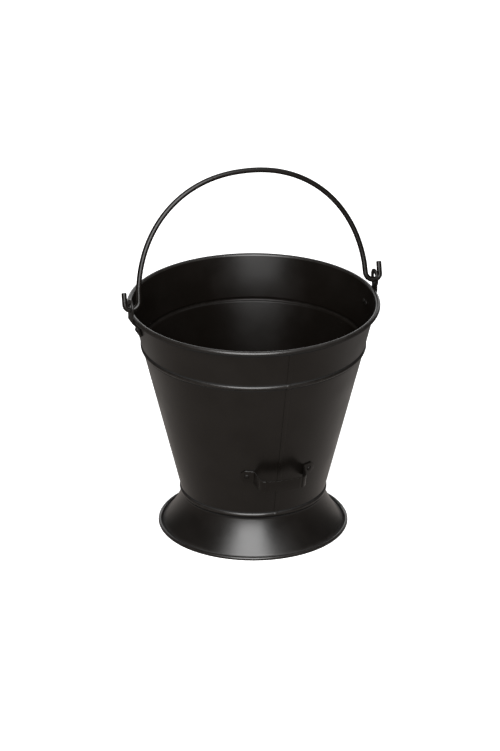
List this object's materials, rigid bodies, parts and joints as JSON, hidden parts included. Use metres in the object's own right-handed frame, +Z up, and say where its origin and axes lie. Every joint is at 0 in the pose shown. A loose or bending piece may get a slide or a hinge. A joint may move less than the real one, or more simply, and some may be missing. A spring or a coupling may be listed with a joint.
{
  "type": "log bucket",
  "caption": "Conical sheet-steel log bucket on a flared foot, with a wired rim, a rod bail hooked through two riveted ears, and a strap handle low on the front for tipping.",
  "frame": {"origin": "centre of the foot, on the floor that the bucket stands on", "axes": "+Z up, X along the bail's hinge line through the two ears, and -Y towards the lock seam and the tipping handle"},
  "size_m": [0.4082, 0.3798, 0.5589],
  "materials": {
    "satin_black_sheet": "satin black stove paint on steel sheet",
    "black_fittings": "satin black stove paint on steel plate and strap",
    "bail_black": "satin black stove paint on drawn steel rod",
    "curl_wire": "bare drawn wire, closed in by the rolled edges"
  },
  "bodies": {
    "bucket": {"body_shell": "satin_black_sheet", "rim_wire": "curl_wire", "floor_pan": "satin_black_sheet", "foot_skirt": "satin_black_sheet", "foot_wire": "curl_wire", "ear_left": "black_fittings", "ear_right": "black_fittings", "ear_rivet_left_front": "black_fittings", "ear_rivet_left_back": "black_fittings", "ear_rivet_right_front": "black_fittings", "ear_rivet_right_back": "black_fittings", "tipping_handle": "black_fittings", "handle_rivet_left": "black_fittings", "handle_rivet_right": "black_fittings"},
    "bail": {"bail": "bail_black"}
  },
  "joints": [
    {"name": "bail_swing", "type": "hinge", "parent": "bucket", "child": "bail", "pos_m": [0, 0, 0.3736], "axis": [1, 0, 0], "range_deg": [-76, 104]}
  ]
}
